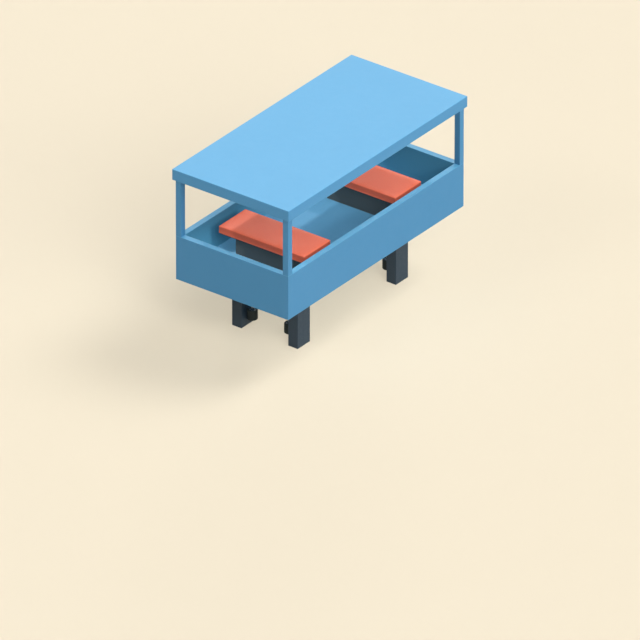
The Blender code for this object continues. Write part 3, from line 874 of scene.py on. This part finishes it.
tyreLook = {
    "groove": 0.006, "grooveDepth": 0.006, "grooves": (-0.026, 0.0, 0.026), "shoulder": 0.014,
    "grooveShape": ((0.5, 0), (0.32, 0.8), (0.2, 1), (-0.2, 1), (-0.32, 0.8), (-0.5, 0)),
    "wall": ((0, 0.006), (0.004, 0.001), (0.010, 0), (0.014, 0.004), (0.028, 0.004),
             (0.034, 0.001)),   # height above the rim, depth behind the side
    "gap": 0.0004,
}
rollerLook = {
    "groove": 0.004, "grooveDepth": 0.003, "grooves": (-0.028, 0.028), "shoulder": 0.012,
    "grooveShape": ((0.5, 0), (0.25, 1), (-0.25, 1), (-0.5, 0)),
    "wall": ((0, 0.002), (0.002, 0)), "gap": 0.0003, "hubRadius": 0.050,
    "hub": ((0.0132, 0), (0.0205, 0), (0.0225, 0.002), (0.0225, 0.007), (0.041, 0.007),
            (0.043, 0.0035), (0.049, 0.003), (0.050, 0.004)),   # radius, depth behind the face
    "recess": 0.007, "boltRing": 0.032, "bolts": 5, "boltSize": 0.34,
}
wheelNutLook = {"boltRing": 0.067, "bolts": 6, "boltSize": 0.8, "webFace": 0.012}


def bothFaces(profile, between=()):
    # a profile's upper half and its mirror image, with what lies between them
    return profile + list(between) + [(radius, -along) for radius, along in reversed(profile)]


def tyreProfile(look, foot, radius, half):
    # side wall, round shoulder and grooved tread
    wall = [(foot + rise, half - depth) for rise, depth in look["wall"]]
    edge = look["shoulder"]
    arc = [(radius - edge * (1 - sin(a)), half - edge * (1 - cos(a))) for a in evenly(0, pi / 2, 7)]
    tread = [(radius - look["grooveDepth"] * depth, middle + across * look["groove"])
             for middle in reversed(look["grooves"]) for across, depth in look["grooveShape"]]
    return bothFaces(wall + arc, tread)


def boltRings(middle, axis, face, look):
    # a ring of bolts on either face of a wheel
    along = Vector(axisFrames[axis][2])
    return [spot for way in (-1, 1) for spot in ringSpots(
        middle + way * face * along, look["boltRing"], look["bolts"], axis, way, look["boltSize"])]


def makeLoadTyre(end, side):
    node = f"load_tyre_{end}_{side}"
    low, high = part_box(node)
    middle = (low + high) / 2
    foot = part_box(f"load_axle_{end}")[1].z - middle.z + tyreLook["gap"]
    profile = tyreProfile(tyreLook, foot, (high.z - low.z) / 2, (high.x - low.x) / 2)
    newPiece(f"loadTyre_{end}_{side}", latheMesh([(profile, middle, "X")], 96), "tyreRubber",
             f"wheelset_{end}", [node])


def makeGuideWheel(end, side):
    look = rollerLook
    node, body = f"guide_roller_{end}_{side}", f"guide_wheel_{end}_{side}"
    low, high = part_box(node)
    middle, half = (low + high) / 2, (high.z - low.z) / 2
    profile = tyreProfile(look, look["hubRadius"] + look["gap"], (high.x - low.x) / 2, half)
    newPiece(f"guideTread_{end}_{side}", latheMesh([(profile, middle, "Z")], 72), "tyreRubber",
             body, [node])
    face = [(radius, half - depth) for radius, depth in look["hub"]]
    newPiece(f"guideHub_{end}_{side}", latheMesh([(bothFaces(face), middle, "Z")], 48),
             "slateEnamel", body)
    bolts = boltRings(middle, "Z", half - look["recess"], look)
    addRow(f"guideHubBolts_{end}_{side}", hexTree, bolts, "zincPlate", body)


def makeWheelNuts(end):
    nuts = []
    for side in sides:
        low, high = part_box(f"load_tyre_{end}_{side}")
        nuts += boltRings((low + high) / 2, "X", wheelNutLook["webFace"], wheelNutLook)
    addRow(f"wheelNuts_{end}", hexTree, nuts, "zincPlate", f"wheelset_{end}")


for make in (makeLoadTyre, makeGuideWheel):
    for end, side in product(ends, sides):
        make(end, side)
for end in ends:
    makeWheelNuts(end)
print("wheels made")


# Bogies: bearing caps, bolts, wear pads and welds

bogieLook = {
    "hangerFace": 0.215, "capBoltDepth": 0.008, "capBolts": 4, "capBoltRing": 0.042,
    "capBoltSize": 0.5,
    "cap": ((0.0236, 0), (0.052, 0), (0.052, 0.006), (0.050, 0.008), (0.034, 0.008),
            (0.032, 0.010), (0.0236, 0.010)),
    "bolsterLow": 0.800, "bolsterHigh": 0.895, "bolsterBolts": (0.05, 0.11), "boltRise": 0.025,
    "padRadius": 0.130,
    "bearer": (0.450, 0.080, 0.120, 0.909),   # distance out, width, length, top
    "wearPad": 0.004, "padInset": 0.005, "padRivets": (0.016, 0.018), "rivetSize": 0.6,
    "hanger": (0.190, 0.215, 0.065), "gusset": (0.120, 0.110, 0.006),
    "lug": 0.026, "lugSpans": ((0.105, 0.117), (0.279, 0.291)),
    "weld": 0.0035, "lugWeld": 0.0022, "ripple": 0.18,
}
pinNutLook = {"headWidth": 0.034, "headHeight": 0.010, "washerWidth": 0.043, "washerHeight": 0.003,
              "stubWidth": 0.023, "stubHeight": 0.007}


def rectangleOn(level, first, second, axis="Z"):
    # a closed rectangle at one level of an axis, between (low, high) on the other two
    corners = [(first[0], second[0]), (first[1], second[0]), (first[1], second[1]),
               (first[0], second[1])]
    return [(level, a, b) if axis == "X" else (a, b, level) for a, b in corners], True


def dressBogie(end):
    look = bogieLook
    middle = Vector((0, pivots[f"bogie_{end}"].y, 0))
    place = {"body": f"bogie_{end}", "at": middle}
    axleZ = pivots[f"wheelset_{end}"].z
    low, high = look["bolsterLow"], look["bolsterHigh"]
    boltYs = symmetric(*look["bolsterBolts"])
    boltZs = [(low + high) / 2 + rise for rise in symmetric(look["boltRise"])]
    hangerIn, hangerOut, hangerHalf = look["hanger"]
    gussetSide, gussetY, gussetHalf = look["gusset"]
    bearerX, bearerWidth, bearerLength, bearerTop = look["bearer"]
    inset, padTop = look["padInset"], bearerTop + look["wearPad"]
    rivetX, rivetY = look["padRivets"]
    caps, capBolts, bolts, pinNuts, pads, padRivets, welds, lugWelds = ([] for _ in range(8))
    for side, sign in sides.items():
        legLow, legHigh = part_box(f"leg_{end}_{side}")
        legIn, legOut = sorted((abs(legLow.x), abs(legHigh.x)))
        legYs = (legLow.y - middle.y, legHigh.y - middle.y)
        face = sign * look["hangerFace"]
        caps.append(([(radius, sign * depth) for radius, depth in look["cap"]],
                     (face, 0, axleZ), "X"))
        capBolts += ringSpots((face + sign * look["capBoltDepth"], 0, axleZ), look["capBoltRing"],
                              look["capBolts"], "X", sign, look["capBoltSize"], pi / 4)
        bolts += spotsAt([sign * legOut], boltYs, boltZs, (sign, 0, 0))
        rollerX = pivots[f"guide_wheel_{end}_{side}"].x
        pinNuts += [((rollerX, 0, look["lugSpans"][1][1]), up),
                    ((rollerX, 0, look["lugSpans"][0][0]), down)]
        xs = [sign * bearerX + way * bearerWidth / 2 for way in (-1, 1)]
        ys = [way * bearerLength / 2 for way in (-1, 1)]
        pads.append(((xs[0] + inset, ys[0] + inset, bearerTop),
                     (xs[1] - inset, ys[1] - inset, padTop)))
        padRivets += spotsAt((xs[0] + rivetX, xs[1] - rivetX), (ys[0] + rivetY, ys[1] - rivetY),
                             [padTop], up, look["rivetSize"])
        hangerXs = sorted((sign * hangerIn, sign * hangerOut))
        welds += [rectangleOn(high, xs, ys),
                  rectangleOn(low, sorted((sign * legIn, sign * legOut)), legYs),
                  rectangleOn(low, hangerXs, (-hangerHalf, hangerHalf))]
        for y in (way * gussetY + flank * gussetHalf for way in (-1, 1) for flank in (-1, 1)):
            welds.append(([(sign * (legIn - gussetSide), y, low), (sign * legIn, y, low),
                           (sign * legIn, y, low - gussetSide)], False))
        lugWelds += [rectangleOn(sign * legIn, (-look["lug"], look["lug"]), span, "X")
                     for span in look["lugSpans"]]
    welds.append((circleAt((0, 0, high), look["padRadius"], 40, "Z"), True))
    newPiece(f"bearingCaps_{end}", latheMesh(caps, 40), "slateEnamel", **place)
    newPiece(f"wearPads_{end}", blockMesh(pads, 0.001), "zincPlate", **place)
    addRow(f"bearingCapBolts_{end}", hexTree, capBolts, "zincPlate", **place)
    addRow(f"bolsterBolts_{end}", hexTree, bolts, "slateEnamel", **place)
    addRow(f"rollerPinNuts_{end}", hexTree, pinNuts, "zincPlate", **place, **pinNutLook)
    addRow(f"wearPadRivets_{end}", rivetTree, padRivets, "zincPlate", **place)
    addRow(f"bogieWelds_{end}", beadTree, welds, "slateEnamel", **place, radius=look["weld"],
           ripple=look["ripple"])
    addRow(f"lugWelds_{end}", beadTree, lugWelds, "slateEnamel", **place, radius=look["lugWeld"],
           ripple=look["ripple"])


for end in ends:
    dressBogie(end)
print("bogies dressed")


# Drive unit: flange, cowl, covers, terminal box and its conduit, placed from the axle's middle

driveLook = {
    "gearboxHalf": 0.048,
    "retainer": ((0.0245, 0), (0.043, 0), (0.043, 0.0055), (0.0415, 0.007), (0.0245, 0.007)),
    "retainerDepth": 0.007, "retainerBolts": 0.0345, "ribs": (0.075, 0.115, 0.155),
    "rib": (0.005, 0.007, 0.078),   # half its width, its rise, half its height
    "turnings": (   # profile, place and axis of flange, cowl, its cap, and breather
        (((0.060, 0), (0.088, 0), (0.088, 0.010), (0.086, 0.012), (0.060, 0.012)),
         (0, 0.195, 0), "Y"),
        (((0.0672, 0.400), (0.0725, 0.400), (0.0725, 0.444), (0.0695, 0.450), (0.0645, 0.452),
          (0.058, 0.452), (0.058, 0.449), (0.0672, 0.440)), (0, 0, 0), "Y"),
        (((0, 0.004), (0.010, 0.004), (0.012, 0.002), (0.012, -0.003), (0, -0.003)),
         (0, 0.452, 0), "Y"),
        (((0, 0.015), (0.004, 0.015), (0.005, 0.011), (0.009, 0.011), (0.009, 0.005),
          (0.006, 0.004), (0.006, -0.002), (0, -0.002)), (0.018, 0.125, 0.095), "Z"),
    ),
    "gland": ((0, 0.020), (0.010, 0.020), (0.012, 0.017), (0.012, 0.010), (0.015, 0.009),
              (0.015, -0.001), (0, -0.001)),
    "cover": ((-0.036, -0.091, -0.074), (0.036, -0.084, 0.074)),
    "coverBolts": ((0.028,), (0.022, 0.064)), "flangeBolts": (0.207, 0.079, 0.5),
    "drainPlug": (0, 0.06, -0.095), "plugSize": 0.8, "boltSize": 0.5, "retainerBoltSize": 0.36,
    "plate": (0.055, 0.060, 0.010), "plateBolts": (0.044, 0.049),
    "box": ((0.060, 0.265, -0.035), (0.128, 0.375, 0.045)), "lidLap": 0.003, "lidRise": 0.005,
    "screwInset": 0.008, "screwSize": 0.75, "wallGland": (0.140, 0.045), "conduit": 0.0075,
    "conduitPitch": 0.012, "bend": 0.045, "glandDepth": 0.012,
    "grilleY": 0.451, "grille": (0.014, 0.026, 0.038, 0.050), "spoke": 0.060,
    "wire": 0.0016, "wirePitch": 0.012,
    "eye": (0, 0.300, 0.086), "eyeRadius": 0.011, "eyeRod": 0.004, "eyePitch": 0.006,
}


def dressDrive():
    look = driveLook
    centre = Vector((0, pivots["bogie_a"].y, pivots["wheelset_a"].z))
    place = {"body": "bogie_a", "at": centre}
    half, depth = look["gearboxHalf"], look["retainerDepth"]
    bolster = bogieLook["bolsterLow"] - centre.z
    boxLow, boxHigh = (Vector(corner) for corner in look["box"])
    riser = Vector(((boxLow.x + boxHigh.x) / 2, (boxLow.y + boxHigh.y) / 2, boxHigh.z))
    wall = Vector((riser.x, look["wallGland"][0], bolster + look["wallGland"][1]))
    turnings = [*look["turnings"], (look["gland"], riser, "Z"), (look["gland"], wall, "Y")]
    lap, lid = look["lidLap"], boxHigh.x + look["lidRise"]
    plateX, plateY, plateDepth = look["plate"]
    ribHalf, ribOut, ribTop = look["rib"]
    blocks = [look["cover"], look["box"],
              ((boxHigh.x - 0.001, boxLow.y - lap, boxLow.z - lap),
               (lid, boxHigh.y + lap, boxHigh.z + lap)),
              ((-plateX, -plateY, bolster - plateDepth), (plateX, plateY, bolster))]
    bolts, size = [], look["boltSize"]
    for sign in (-1, 1):
        profile = [(radius, sign * distance) for radius, distance in look["retainer"]]
        turnings.append((profile, (sign * half, 0, 0), "X"))
        bolts += ringSpots((sign * (half + depth), 0, 0), look["retainerBolts"], 6, "X", sign,
                           look["retainerBoltSize"])
        blocks += [((sign * (half - overlap), y - ribHalf, -ribTop),
                    (sign * (half + ribOut), y + ribHalf, ribTop)) for y in look["ribs"]]
    coverXs, coverZs = (symmetric(*values) for values in look["coverBolts"])
    bolts += spotsAt(coverXs, [look["cover"][0][1]], coverZs, (0, -1, 0), size)
    flangeFace, flangeRing, flangeStart = look["flangeBolts"]
    bolts += ringSpots((0, flangeFace, 0), flangeRing, 6, "Y", 1, size, flangeStart)
    plateXs, plateYs = (symmetric(value) for value in look["plateBolts"])
    bolts += spotsAt(plateXs, plateYs, [bolster - plateDepth], down, size)
    bolts.append((look["drainPlug"], down, look["plugSize"]))
    inset = look["screwInset"]
    screws = spotsAt([lid], (boxLow.y + inset, boxHigh.y - inset),
                     (boxLow.z + inset, boxHigh.z - inset), (1, 0, 0), look["screwSize"])
    newPiece("driveCastings", blockMesh(blocks, 0.0022, 3), "castEnamel", **place)
    newPiece("driveTurnings", latheMesh(turnings, 48), "castEnamel", **place)
    addRow("driveBolts", hexTree, bolts, "zincPlate", **place)
    addRow("terminalScrews", rivetTree, screws, "zincPlate", **place)

    bend = look["bend"]
    arc = [Vector((riser.x, riser.y + bend * (cos(a) - 1), wall.z + bend * (sin(a) - 1)))
           for a in evenly(0, pi / 2, 9)]
    depth = look["glandDepth"]
    conduit = [riser + Vector((0, 0, depth))] + arc + [wall + Vector((0, depth, 0))]
    addRow("motorConduit", beadTree, [(conduit, False)], "zincPlate", **place,
           radius=look["conduit"], pitch=look["conduitPitch"], sides=14)
    hub = (0, look["grilleY"], 0)
    grille = [(circleAt(hub, radius, 36, "Y"), True) for radius in look["grille"]]
    grille += [([hub, spot], False) for spot in circleAt(hub, look["spoke"], 8, "Y")]
    eye = circleAt(look["eye"], look["eyeRadius"], 24, "X")
    addRow("motorGrille", beadTree, grille, "castEnamel", **place, radius=look["wire"],
           pitch=look["wirePitch"])
    addRow("liftingEye", beadTree, [(eye, True)], "castEnamel", **place, radius=look["eyeRod"],
           pitch=look["eyePitch"])


dressDrive()
print("drive dressed")


# Underframe: ribs under the floor, bolts and rivets

underLook = {
    "ribs": (0.25, 0.50, 0.75, 1.45, 1.65), "ribWidth": 0.040, "ribDepth": 0.032,
    "ribRivets": (0.03, 0.08), "rivetShift": 0.009, "pivotBolts": (0.64, 0.72, 0.80),
    "boltInset": 0.035, "middleBolts": (0.30, 0.55, 0.74), "sillRivets": 31, "sillInset": 0.06,
}


def dressUnderframe():
    look = underLook
    deckLow, (sillLow, sillHigh) = deckBox[0].z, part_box("sill_right")
    ribLow, ribYs = deckLow - look["ribDepth"], symmetric(*look["ribs"])
    halfWidth = sillLow.x + 0.001
    ribs = crossRibs(ribYs, halfWidth, look["ribWidth"], ribLow, deckLow + overlap)
    newPiece("floorRibs", ribs, "slateEnamel")
    bolts = spotsAt(symmetric(*look["middleBolts"]), [0], [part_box("middle_beam")[0].z], down)
    for end in ends:
        low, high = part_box(f"pivot_beam_{end}")
        bolts += spotsAt(symmetric(*look["pivotBolts"]),
                         (low.y + look["boltInset"], high.y - look["boltInset"]), [low.z], down)
    addRow("underframeBolts", hexTree, bolts, "zincPlate")
    rivets = spotsAt(symmetric(*(halfWidth - inset for inset in look["ribRivets"])),
                     [y + shift for y in ribYs for shift in symmetric(look["rivetShift"])],
                     [ribLow], down)
    rivets += spotsAt(symmetric((sillLow.x + sillHigh.x) / 2),
                      evenly(sillLow.y + look["sillInset"], sillHigh.y - look["sillInset"],
                             look["sillRivets"]), [sillLow.z], down)
    addRow("underframeRivets", rivetTree, rivets, "slateEnamel")


dressUnderframe()
print("underframe dressed")


# Locker doors, on the bench sides that face away from the A end

lockerLook = {
    "halfWidth": 0.36, "low": 0.045, "high": 0.265, "sheet": 0.004, "leaf": 0.003,
    "leafDrop": 0.03, "hingeX": 0.22, "hinge": 0.0055, "hingeDrop": 0.004,
    "hingeLength": 0.07, "rivetShift": 0.022, "rivetDrop": 0.020, "rivetRise": 0.016,
    "rivetSize": 0.6, "sunk": 0.0005, "knobDrop": 0.03,
    "knob": ((0, 0.016), (0.010, 0.016), (0.012, 0.013), (0.012, 0.009), (0.005, 0.007),
             (0.005, 0.003), (0.016, 0.002), (0.016, -0.001), (0, -0.001)),
}


def makeLockers():
    look = lockerLook
    half, radius = look["hingeLength"] / 2, look["hinge"]
    barrel = ((0, -half), (radius, -half), (radius, half), (0, half))
    low, high = deckTop + look["low"], deckTop + look["high"]
    doors, turnings, rivets = [], [], []
    for end in ends:
        back = pedestalFoot(end)[2]
        start, sheet, leaf = back - look["sunk"], back + look["sheet"], back + look["leaf"]
        doors.append(((-look["halfWidth"], start, low), (look["halfWidth"], sheet, high)))
        for x in symmetric(look["hingeX"]):
            turnings.append((barrel, (x, sheet, low - look["hingeDrop"]), "X"))
            doors.append(((x - half, start, low - look["leafDrop"]), (x + half, leaf, low)))
            for y, z in ((leaf, low - look["rivetDrop"]), (sheet, low + look["rivetRise"])):
                rivets += spotsAt((x - look["rivetShift"], x + look["rivetShift"]), [y], [z],
                                  (0, 1, 0), look["rivetSize"])
        turnings.append((look["knob"], (0, sheet, high - look["knobDrop"]), "Y"))
    newPiece("lockerDoors", blockMesh(doors, 0.0012), "benchEnamel")
    newPiece("lockerFittings", latheMesh(turnings, 28), "zincPlate")
    addRow("lockerRivets", rivetTree, rivets, "zincPlate")


makeLockers()
print("lockers made")


# Camera: a very long lens, so that parallel edges stay parallel

cameraLook = {
    "turn": 36.892, "tilt": 29.333, "lens": 1200, "sensor": 36, "metresPerPixel": 0.013673,
    "picture": 640, "aim": (0, 0, 0.92), "aimAt": (320.212, 242.398),   # the pixel where the aim is
}


def addCamera():
    look = cameraLook
    turn, tilt = radians(look["turn"]), radians(look["tilt"])
    right = Vector((cos(turn), sin(turn), 0))
    back = Vector((right.y * cos(tilt), -right.x * cos(tilt), sin(tilt)))
    upward = back.cross(right)
    half = look["picture"] / 2
    shift = right * (half - look["aimAt"][0]) + upward * (look["aimAt"][1] - half)
    distance = half * look["metresPerPixel"] / (look["sensor"] / 2 / look["lens"])
    data = bpy.data.cameras.new("camera")
    data.lens, data.sensor_width = look["lens"], look["sensor"]
    data.clip_start, data.clip_end = 1, distance + 600
    scene.camera = camera = linked("camera", data)
    camera.matrix_world = Matrix((right, upward, back)).transposed().to_4x4()
    camera.location = Vector(look["aim"]) + shift * look["metresPerPixel"] + back * distance


# Floor, lights and world: the sharp lights leave the floor out, so that its shadows stay soft,
# and a wash of its own makes up for them

studioFloor = {"colour": (0.548, 0.4886, 0.3838, 1), "reach": 300}
lightLook = {
    # name: compass direction, height (degrees), strength, width of disc (degrees), shadows, lights
    "keySky": (60, 55, 1.51, 28, True, "all"),
    "sideGlow": (330, 35, 1.39, 28, True, "all"),
    "lowSide": (0, 15, 0.62, 28, True, "all"),
    "lowBack": (120, 8, 0.77, 12, True, "all"),
    "frontGlow": (250, 40, 0.26, 12, True, "all"),
    "fill": (312.3, 58.6, 1.42, 0, False, "car"),
    "frontGlint": (227, 53.5, 0.92, 3, True, "car"),
    "rearGlint": (122, 46, 0.69, 3, True, "car"),
    "sideGlint": (356, 29.9, 1.00, 8, True, "car"),
    "floorWash": (0, 90, 2.95, 0, False, "floor"),
}
skyStrength = 0.005


def addFloor():
    mesh = bpy.data.meshes.new("floor")
    reach = studioFloor["reach"]
    square = ((-1, -1), (1, -1), (1, 1), (-1, 1))
    mesh.from_pydata([(reach * x, reach * y, 0) for x, y in square], [], [(0, 1, 2, 3)])
    floor = linked("floor", mesh)
    material = bpy.data.materials.new("plainFloor")
    material.use_nodes = True
    inputs = material.node_tree.nodes["Principled BSDF"].inputs
    inputs["Base Color"].default_value = studioFloor["colour"]
    inputs["Roughness"].default_value, inputs["Specular IOR Level"].default_value = 1.0, 0.0
    mesh.materials.append(material)
    return floor


def addLights(floor):
    for name, (compass, height, strength, width, casts, lights) in lightLook.items():
        data = bpy.data.lights.new(name, "SUN")
        data.energy, data.angle, data.use_shadow = strength, radians(width), casts
        lamp = linked(name, data)
        across, rise = radians(compass), radians(height)
        towards = Vector((cos(across) * cos(rise), sin(across) * cos(rise), sin(rise)))
        lamp.rotation_euler = towards.to_track_quat("Z", "Y").to_euler()
        if lights != "all":
            links = bpy.data.collections.new(name + "Links")
            links.objects.link(floor)
            state = "INCLUDE" if lights == "floor" else "EXCLUDE"
            links.collection_objects[0].light_linking.link_state = state
            lamp.light_linking.receiver_collection = links
    scene.world = bpy.data.worlds.new("world")
    scene.world.use_nodes = True
    background = scene.world.node_tree.nodes["Background"].inputs
    background["Color"].default_value = (1, 1, 1, 1)
    background["Strength"].default_value = skyStrength


addCamera()
addLights(addFloor())
scene.view_settings.view_transform = "Standard"
print("camera, floor and lights added")
